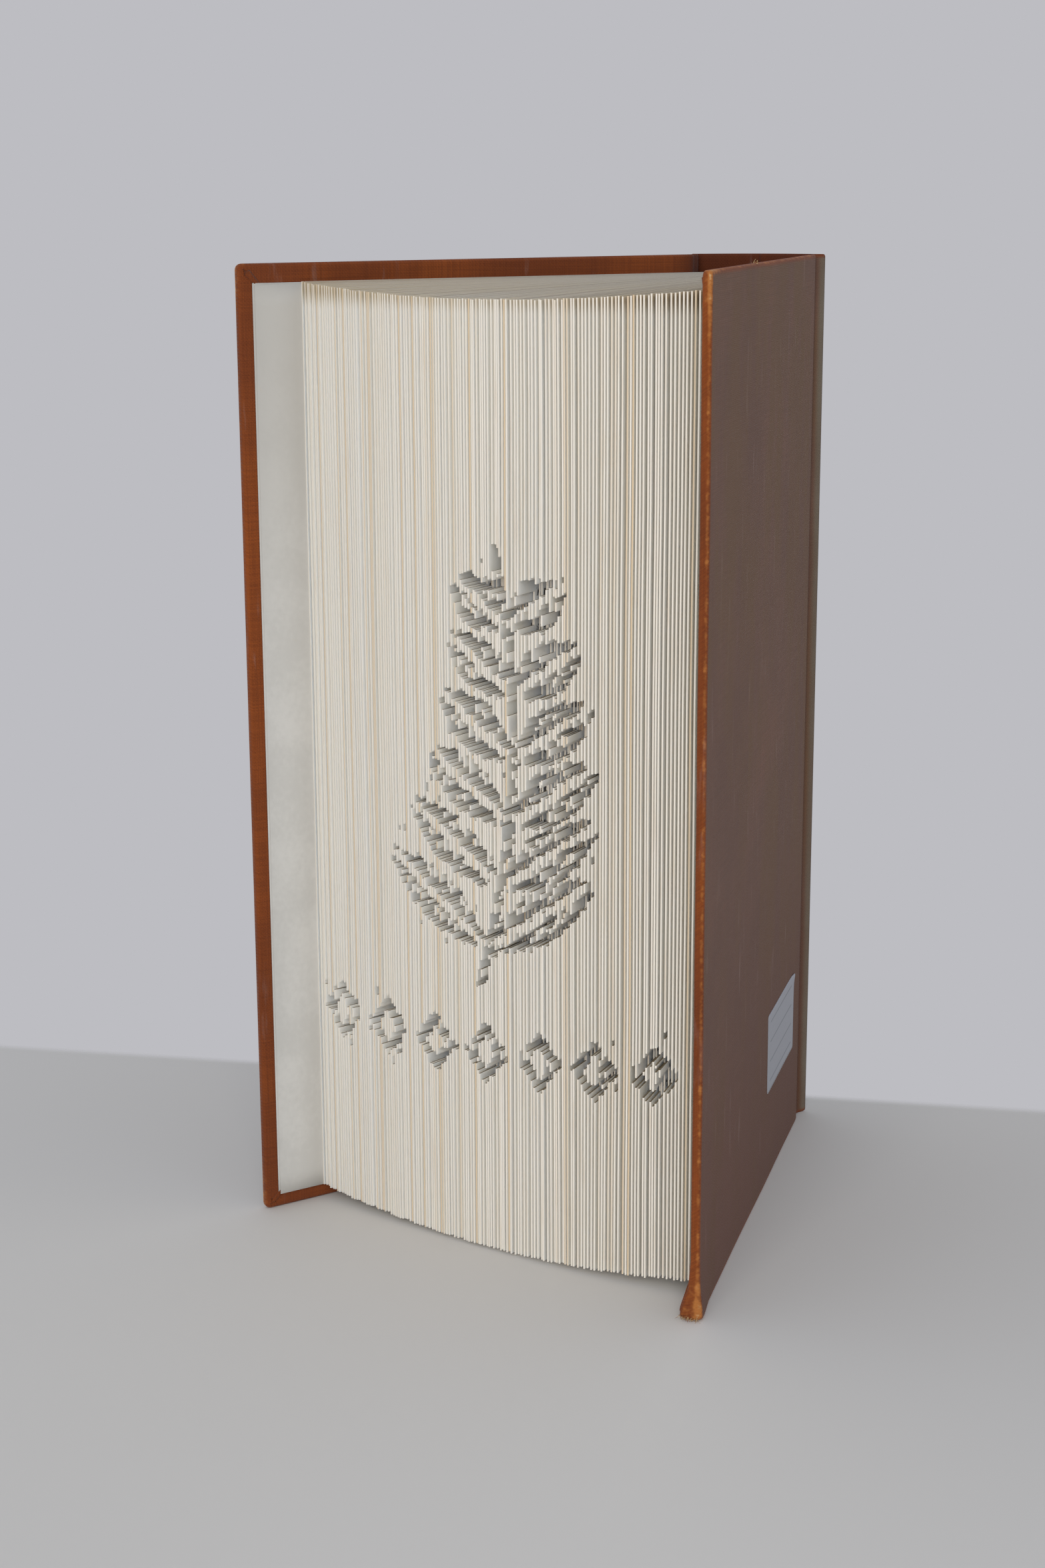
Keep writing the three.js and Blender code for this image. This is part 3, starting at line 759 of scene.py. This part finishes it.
class Cover:
    """Places points of one cover, its joint and half spine.
    A length s is 0 at the board's spine end, positive on towards the middle of the spine and
    negative on towards the fore-edge. A depth is counted from the outer face inwards."""

    def __init__(self, side):
        self.side = side
        self.edge = BACK_EDGE if side > 0 else FRONT_EDGE
        angle = 0.0 if side > 0 else -OPENING
        self.out = Vector((math.sin(angle), -math.cos(angle)))
        self.inward = Vector((-1.0, 0.0)) if side > 0 else Vector((math.cos(angle), math.sin(angle)))
        self.line = joint_line(side)
        self.lengths = [0.0]
        for a, b in zip(self.line, self.line[1:]):
            self.lengths.append(self.lengths[-1] + (b - a).length)
        self.inner = []
        for index, point in enumerate(self.line):
            self.inner.append(point + self.normal(index) * self.thickness(self.lengths[index]))
        for _ in range(5):
            eased = [(a + b * 2 + c) / 4 for a, b, c in zip(self.inner, self.inner[1:], self.inner[2:])]
            self.inner = [self.inner[0], *eased, self.inner[-1]]

    def normal(self, index):
        """The way inwards at one point of the line, across its neighbours."""
        reach = min(3, 1 + index // 4)
        before = self.line[max(index - reach, 0)] if index > 0 else self.line[0] + self.out
        after = self.line[min(index + reach, len(self.line) - 1)]
        if index == len(self.line) - 1:
            return Vector((0, -1))
        along = (after - before).normalized()
        return Vector((-along.y, along.x)) if self.side > 0 else Vector((along.y, -along.x))

    def thickness(self, s):
        """From the outer face of the cloth to the face inside it."""
        at_joint = mix(COVER_THICKNESS, 0.85, smooth(-0.2, 1.3, s))
        reach = self.lengths[-1] - 17.8
        return mix(at_joint, 1.85, smooth(reach - 1.2, reach + 0.8, s))

    def plan(self, s, depth):
        """The plan point at a length and a depth."""
        if s <= 0:
            return self.edge - self.out * s + self.inward * depth
        index = min(range(len(self.lengths)), key=lambda k: abs(self.lengths[k] - s))
        share = depth / self.thickness(self.lengths[index])
        return self.line[index].lerp(self.inner[index], share)


def swell(cover, s, z, depth):
    """The depth of a place on a cover once its tail corner has swollen and its face has rippled."""
    if cover.side > 0:
        near = smooth(11.0, 1.0, z) * smooth(13.0, 1.5, COVER_WIDTH + s)
        if near > 0:
            middle = COVER_THICKNESS / 2
            depth = middle + (depth - middle) * (1 + 1.4 * near) + 0.85 * near
    ripple = 0.12 * noise.noise(Vector((s * 0.03, z * 0.025, cover.side * 5)))
    return depth + ripple * smooth(0.0, -20.0, s)


def wear(s, z, d):
    """How far the cloth is rubbed, and how far its outer face is greyed by handling and by a painted grazing
    sheen, at a share d of the board's depth.
    """
    on_edge = min(COVER_WIDTH + s, z, COVER_HEIGHT - z)
    arris = 1 - min(abs(on_edge - 0.1), 1.2) / 1.2 if d < 0.5 else 0.35 * (1 - min(on_edge, 1.0))
    rubbed = 0.62 * max(arris, 0.0)
    past_side = max(0.0, WORN_CORNER - COVER_WIDTH - s)
    past_end = max(0.0, WORN_CORNER - z, WORN_CORNER + z - COVER_HEIGHT)
    if past_side > 0 and past_end > 0:
        rubbed += 0.5 * (math.hypot(past_side, past_end) / WORN_DIAGONAL) ** 2
    if s > 2:
        rubbed *= 0.6
    return rubbed, (1 - smooth(0.05, 0.2, d)) * smooth(0.2, 1.4, on_edge)


def round_corners(bm):
    """Pulls the two fore-edge corners of a cover's flat sheet in to an arc."""
    for vert in bm.verts:
        for corner_z, way in ((CORNER, -1), (COVER_HEIGHT - CORNER, 1)):
            a = -(vert.co.x + COVER_WIDTH - CORNER)
            b = (vert.co.y - corner_z) * way
            if a > 1e-5 and b > 1e-5:
                scale = max(a, b) / math.hypot(a, b)
                vert.co.x = -COVER_WIDTH + CORNER - a * scale
                vert.co.y = corner_z + way * b * scale


def turn_in(bm, d_layer, s_end):
    """Turns a flat sheet of cloth around the board's edge and lays its turn-ins on the inner face.
    The layer holds each point's share of the board's depth."""

    def outward(x, y):
        inner_x = max(x, -COVER_WIDTH + CORNER)
        inner_y = min(max(y, CORNER), COVER_HEIGHT - CORNER)
        away = Vector((x - inner_x, y - inner_y))
        return away.normalized() if away.length > 1e-6 else Vector((0, 0))

    steps = [math.pi / 6 * k for k in range(4)]
    profile = [(ARRIS * math.sin(t), ARRIS * (1 - math.cos(t)) / COVER_THICKNESS) for t in steps[1:]]
    profile += [(ARRIS, 0.5)]
    profile += [(ARRIS * math.cos(t), 1 - ARRIS * (1 - math.sin(t)) / COVER_THICKNESS) for t in steps[:3]]
    profile += [(0.0, 1.0), (-0.9, 1.0), (-2.0, 1.0), (None, 1.0)]
    ring = [e for e in bm.edges if e.is_boundary and not all(abs(v.co.x - s_end) < 1e-3 for v in e.verts)]
    base = {v: (v.co.copy(), outward(v.co.x, v.co.y)) for e in ring for v in e.verts}
    for vert in bm.verts:
        vert[d_layer] = 0.0
    for out, d in profile:
        grown = bmesh.ops.extrude_edge_only(bm, edges=ring)["geom"]
        fresh = {g for g in grown if isinstance(g, bmesh.types.BMVert)}
        new_base = {}
        for vert in fresh:
            old = next(e.other_vert(vert) for e in vert.link_edges if e.other_vert(vert) in base)
            origin, away = new_base[vert] = base[old]
            if out is None:
                width = mix(TURN_IN, SPINE_TURN_IN, smooth(0.0, 3.0, origin.x))
                x = max(origin.x, -COVER_WIDTH + TURN_IN)
                vert.co = (x, min(max(origin.y, width), COVER_HEIGHT - width), 0)
            else:
                vert.co = origin + away.to_3d() * out
            vert[d_layer] = d
        ring = [g for g in grown if isinstance(g, bmesh.types.BMEdge) and all(v in fresh for v in g.verts)]
        base = new_base
    for vert in bm.verts:
        vert.co.z = vert[d_layer] * 2.0
    bmesh.ops.remove_doubles(bm, verts=bm.verts, dist=0.01)


def build_case(side):
    """The cloth of one cover with its joint and half the spine, as one thin skin with its turn-ins.
    It is laid out flat, with s along x and the height along y, and then wrapped around its cover."""
    cover = Cover(side)
    bm = bmesh.new()
    layers = {name: bm.verts.layers.float.new(name) for name in ("s", "d", "rubbed", "handling_and_sheen")}
    near_edge = (ARRIS, 0.95, 1.2, CORNER, 2.2, 3.0, 5.0)
    rows = [*near_edge, 8.0, *(8.0 + (COVER_HEIGHT - ARRIS - 16.0) * k / 34 for k in range(1, 34))]
    rows += [COVER_HEIGHT - z for z in (8.0, *reversed(near_edge))]
    columns = [x - COVER_WIDTH for x in near_edge]
    columns += [mix(5.0 - COVER_WIDTH, -2.0, k / 22) for k in range(1, 23)]
    columns += [-0.8, *cover.lengths]
    lay_sheet(bm, columns, rows)
    round_corners(bm)
    turn_in(bm, layers["d"], columns[-1])

    uv_layer = bm.loops.layers.uv.new("cloth")
    for face in bm.faces:
        for loop in face.loops:
            v = loop.vert
            fold = v[layers["d"]] * COVER_THICKNESS * 0.7
            loop[uv_layer].uv = ((v.co.x - fold) / 1000, (v.co.y + fold) / 1000)
    for vert in bm.verts:
        s, z, d = vert.co.x, vert.co.y, vert[layers["d"]]
        vert[layers["s"]] = s
        vert[layers["rubbed"]], vert[layers["handling_and_sheen"]] = wear(s, z, d)
        plan = cover.plan(s, swell(cover, s, z, d * cover.thickness(s)))
        vert.co = to_row(plan.x, plan.y, z)
    outside = next(
        f for f in bm.faces if all(v[layers["d"]] == 0 and -100 < v[layers["s"]] < -30 for v in f.verts)
    )
    name = "case_cloth_back" if side > 0 else "case_cloth_front"
    case = finish_mesh(name, bm, [CLOTH_LOOK], outer=(outside, cover.inward.to_3d()))
    return case, cover


def finish_case(case):
    """Thickens the cloth inwards and applies its placement to its points."""
    thicken(case, CLOTH, -1.0)
    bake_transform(case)


def build_board(cover):
    """The millboard inside one cover, shaped with the cloth around it."""
    near = CLOTH + 0.1
    bm = bmesh.new()
    rows = [near, 2.0, 5.0, *(mix(5.0, COVER_HEIGHT - 5.0, k / 24) for k in range(1, 25))]
    rows += [COVER_HEIGHT - 2.0, COVER_HEIGHT - near]
    columns = [x - COVER_WIDTH for x in (near, 2.0, 5.0)]
    columns += [mix(5.0 - COVER_WIDTH, -0.05, k / 18) for k in range(1, 19)]
    lay_sheet(bm, columns, rows)
    round_corners(bm)
    grown = bmesh.ops.extrude_face_region(bm, geom=bm.faces[:])["geom"]
    bmesh.ops.translate(bm, vec=(0, 0, 1), verts=[g for g in grown if isinstance(g, bmesh.types.BMVert)])
    for vert in bm.verts:
        s, z, share = vert.co
        depth = mix(near + 0.05, COVER_THICKNESS - near - 0.05, share)
        plan = cover.plan(s, swell(cover, s, z, depth))
        vert.co = to_row(plan.x, plan.y, z)
    name = "board_back" if cover.side > 0 else "board_front"
    board = finish_mesh(name, bm, [BOARD_LOOK], smooth_faces=False)
    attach(board, "back_cover" if cover.side > 0 else "front_cover")
    return board


# Endpapers


def endpaper_line(cover):
    """Plan points of one endpaper: the pasted half, as (s, depth), and then the fold and the loose half."""
    pasted = COVER_THICKNESS + 0.16
    glued = [(-127.1, pasted), (-124.0, pasted), (-117.4, pasted), (-114.4, pasted - 0.22)]
    glued += [(mix(-114.4, -6.0, k / 8), pasted - 0.22) for k in range(1, 9)]
    glued += [(-2.0, pasted - 0.05)]
    if cover.side > 0:
        points, knee, direction, reach, bend = leaf_line(1.0, 1.0)
        gap = Vector((0.32, 0))
        start = cover.plan(0.0, pasted + 0.05)
        loose = [start + Vector((-x, y)) for x, y in ((0.0, 0.1), (0.25, 0.75), (0.7, 0.95))]
        loose += [Vector((points[0].x, 0.6)) + gap, *(point + gap for point in points[2:])]
        loose += [knee + direction * mix(0.8 * bend, reach - 0.4, k / 5) + gap for k in range(1, 6)]
    else:
        fold = ((0.5, 0.04), (0.85, 0.16), (0.5, 0.3))
        loose = [cover.edge - cover.out * s + cover.inward * (pasted + d) for s, d in fold]
        for k in range(1, 13):
            lift = 0.18 * math.sin(math.pi * k / 12)
            loose.append(cover.plan(mix(0.0, -126.7, k / 12), pasted + 0.32 + lift))
    return glued, loose


def build_endpaper(cover):
    """One folded sheet: a half pasted to the cover over the turn-ins and a half lying free."""
    back = cover.side > 0
    glued, loose = endpaper_line(cover)
    plan = [(cover.plan(s, d), s) for s, d in glued] + [(point, None) for point in loose]
    last_fold = len(glued) + 6
    rows = [0.0, 5.0, 10.4, *(mix(12.6, 214.4, k / 10) for k in range(11)), 216.6, 222.0, LEAF_HEIGHT]
    bm = bmesh.new()
    line, edges = lay_line(bm, len(rows))
    for index, (point, s) in enumerate(plan):
        if index:
            line, edges, _ = grow(bm, line, edges)
        for z, vert in zip(rows, line):
            spot = point.copy()
            height = LEAF_BOTTOM + z
            if s is not None:
                spot += cover.inward * (swell(cover, s, height, COVER_THICKNESS) - COVER_THICKNESS)
                if not 11.5 < z < 215.5 and -116 < s < -3:
                    spot += cover.inward * 0.22
            elif index > last_fold:
                share = (index - last_fold) / (len(plan) - last_fold)
                spot += cover.inward * 0.15 * share * noise.noise(Vector((index * 0.3, z * 0.02, 3)))
                if not back:
                    rippled = swell(cover, -120 * share, height, COVER_THICKNESS) - COVER_THICKNESS
                    spot += cover.inward * max(0.0, rippled)
                if z > 100:
                    height -= 0.5 * share
            vert.co = to_row(spot.x, spot.y, height)
    sheet = finish_mesh("endpaper_back" if back else "endpaper_front", bm, [ENDPAPER_LOOK])
    thicken(sheet, 0.14, 0.0)
    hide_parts("back_endpaper" if back else "front_endpaper")
    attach(sheet, "back_cover" if back else "front_cover")
    return sheet


def build_label(cover):
    """The plain paper label near the tail of the back cover, lifting at one corner."""
    bm = bmesh.new()
    corner = 0.8
    length, height = LABEL_LENGTH, LABEL_HEIGHT
    columns = [0.0, corner, *(mix(3.0, length - 3.0, k / 8) for k in range(9)), length - corner, length]
    rows = [0.0, corner, *(mix(3.0, height - 3.0, k / 4) for k in range(5)), height - corner, height]
    lay_sheet(bm, columns, rows)
    uv_layer = bm.loops.layers.uv.new("label")
    for face in bm.faces:
        for loop in face.loops:
            loop[uv_layer].uv = (loop.vert.co.x / length, loop.vert.co.y / height)
    for vert in bm.verts:
        x, y = vert.co.x, vert.co.y
        inner_x = min(max(x, corner), length - corner)
        inner_y = min(max(y, corner), height - corner)
        if abs(x - inner_x) > 1e-5 and abs(y - inner_y) > 1e-5:
            x = inner_x + (x - inner_x) * math.sqrt(0.5)
            y = inner_y + (y - inner_y) * math.sqrt(0.5)
        lifted = smooth(4.0, 0.0, x) * smooth(height - 4.0, height, y)
        s, z = LABEL_PLACE[0] - x, LABEL_PLACE[1] + y
        plan = cover.plan(s, swell(cover, s, z, 0.0) - 0.07 - 0.35 * lifted)
        vert.co = to_row(plan.x, plan.y, z)
    label = finish_mesh("label", bm, [LABEL_LOOK])
    thicken(label, 0.1, 0.0)
    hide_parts("shelf_label")
    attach(label, "back_cover")
    return label


def build_frays(cover):
    """Loose thread ends at the worn tail corner and the head of the back cover."""
    dice = random.Random(11)
    bm = bmesh.new()
    places = []
    for _ in range(46):
        turn = dice.uniform(0.15, 1.25)
        places.append((turn, dice.uniform(0.15, 1.0), dice.uniform(0.5, 1.5), False))
    for _ in range(14):
        places.append((dice.uniform(-1, 1), dice.uniform(0.0, 0.6), dice.uniform(0.35, 0.7), True))
    for turn, share, length, at_head in places:
        if at_head:
            s, z = HEAD_FRAY + turn * 1.1, COVER_HEIGHT - 0.15
            away = Vector((turn * 0.4, 1.0))
        else:
            away = Vector((-math.cos(turn), -math.sin(turn)))
            s, z = -COVER_WIDTH + CORNER + away.x * (CORNER - 0.25), CORNER + away.y * (CORNER - 0.25)
        depth = swell(cover, s, z, share * COVER_THICKNESS)
        aim = away * length + Vector((dice.gauss(0, 0.3), dice.gauss(0, 0.3)))
        if z + aim.y < 0.05:
            aim.y = 0.05 - z + dice.uniform(0, 0.2)
        sideways = dice.gauss(0, 0.35) * length
        bmesh.ops.create_cone(bm, cap_ends=True, segments=5, radius1=0.075, radius2=0.03, depth=1.0)
        long_edges = [
            e for e in bm.edges if not e.verts[0].tag and abs(e.verts[0].co.z - e.verts[1].co.z) > 0.5
        ]
        bmesh.ops.subdivide_edges(bm, edges=long_edges, cuts=3)
        for vert in [v for v in bm.verts if not v.tag]:
            t = vert.co.z + 0.5
            x, y = vert.co.x, vert.co.y
            depth_now = depth + sideways * t * t + y
            plan = cover.edge + cover.out * -(s + aim.x * t + x) + cover.inward * depth_now
            vert.co = to_row(plan.x, plan.y, max(z + aim.y * t + y * 0.5, 0.02))
            vert.tag = True
    threads = finish_mesh("frayed_threads", bm, [THREAD_LOOK])
    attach(threads, "back_cover")
    return threads


build_pages()

case_back, back_cover = build_case(1)
finish_case(case_back)
board_back = build_board(back_cover)
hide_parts("back_board")

case_front, front_cover = build_case(-1)
finish_case(case_front)
board_front = build_board(front_cover)
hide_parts("front_board")
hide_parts("back_cover_cloth")
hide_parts("front_cover_cloth", "spine_cloth")

build_endpaper(back_cover)
build_endpaper(front_cover)
build_label(back_cover)
build_frays(back_cover)

# The pieces that stay as the frame has them
for node, look in (("spine_lining", LINING_LOOK), ("spine_card", BOARD_LOOK)):
    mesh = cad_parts[node].data
    mesh.materials.clear()
    mesh.materials.append(look)


# Floor, light and camera

# The line in metres on the tabletop where a wall would stand
WALL_SLANT = 0.0885
WALL_FADE = (0.0700, 0.0755)


def build_floor():
    """A pale tabletop. Where a wall would stand behind the book it fades into the plain backdrop."""
    bm = bmesh.new()
    bmesh.ops.create_grid(bm, x_segments=2, y_segments=2, size=6.0)
    bmesh.ops.translate(bm, vec=(0, 0, -0.00004), verts=bm.verts)
    material, n, shader = new_material("tabletop")
    place = n.place()
    x, y, _ = n.split(place)
    clouds = n.noise(place, 3.0, 2.0)
    colour = n.mix(n.band(clouds, 0.3, 0.7), rgb(211, 209, 205), rgb(215, 213, 209))
    n.feed(shader.inputs["Base Color"], colour)
    shader.inputs["Roughness"].default_value = 0.7
    shader.inputs["Specular IOR Level"].default_value = 0.3
    past_wall = n.math("SUBTRACT", y, n.math("MULTIPLY", x, WALL_SLANT))
    beyond = n.band(past_wall, *WALL_FADE)
    camera_ray = n.add("ShaderNodeLightPath").outputs["Is Camera Ray"]
    clear = n.add("ShaderNodeBsdfTransparent")
    blend = n.add("ShaderNodeMixShader")
    n.feed(blend.inputs[0], n.math("MULTIPLY", beyond, camera_ray))
    n.feed(blend.inputs[1], shader.outputs[0])
    n.feed(blend.inputs[2], clear.outputs[0])
    output = material.node_tree.nodes["Material Output"]
    n.feed(output.inputs["Surface"], blend.outputs[0])
    floor = finish_mesh("floor", bm, [material], smooth_faces=False)


def build_world():
    """The room's even light, and the plain backdrop that the camera sees."""
    world = bpy.data.worlds.new("studio")
    bpy.context.scene.world = world
    world.use_nodes = True
    n = Nodes(world.node_tree)
    plain = world.node_tree.nodes["Background"]
    plain.inputs["Color"].default_value = rgb(236, 240, 250)
    plain.inputs["Strength"].default_value = 0.6
    seen = n.add("ShaderNodeBackground")
    seen.inputs["Color"].default_value = rgb(189, 189, 194)
    path = n.add("ShaderNodeLightPath")
    shown = n.math("MAXIMUM", path.outputs["Is Camera Ray"], path.outputs["Is Transmission Ray"])
    blend = n.add("ShaderNodeMixShader")
    n.feed(blend.inputs[0], shown)
    n.feed(blend.inputs[1], plain.outputs[0])
    n.feed(blend.inputs[2], seen.outputs[0])
    n.feed(world.node_tree.nodes["World Output"].inputs["Surface"], blend.outputs[0])


def add_light(name, position, target, size, power, colour):
    """A square area light that faces its target."""
    light = bpy.data.lights.new(name, "AREA")
    light.shape = "SQUARE"
    light.size = size
    light.energy = power
    light.color = colour
    lamp = bpy.data.objects.new(name, light)
    bpy.context.scene.collection.objects.link(lamp)
    lamp.location = position
    lamp.rotation_euler = (Vector(target) - Vector(position)).to_track_quat("-Z", "Y").to_euler()


build_floor()
build_world()
add_light("window", (0.2, -1.75, 0.75), (0, 0, 0.1), 1.3, 17.0, (1.0, 0.982, 0.95))

CAMERA_PLACE = (0.16372, -0.5811, 0.2505)
FOCAL_LENGTH = 56.63
SENSOR_WIDTH = 36.0
HEADING = Vector((-0.2742, 0.9617, 0.0))
PITCH = math.radians(13.46)
ROLL = math.radians(-0.26)
ahead = HEADING * math.cos(PITCH) - Vector((0, 0, math.sin(PITCH)))
level = Vector((HEADING.y, -HEADING.x, 0.0))
above = HEADING * math.sin(PITCH) + Vector((0, 0, math.cos(PITCH)))
right = level * math.cos(ROLL) + above * math.sin(ROLL)
top = above * math.cos(ROLL) - level * math.sin(ROLL)
lens = bpy.data.cameras.new("camera")
lens.lens = FOCAL_LENGTH
lens.sensor_width = SENSOR_WIDTH
lens.clip_start = 0.01
camera = bpy.data.objects.new("camera", lens)
bpy.context.scene.collection.objects.link(camera)
turned = Matrix((right, top, -ahead)).transposed()
camera.matrix_world = Matrix.Translation(CAMERA_PLACE) @ turned.to_4x4()
bpy.context.scene.camera = camera
bpy.context.scene.view_settings.view_transform = "Standard"
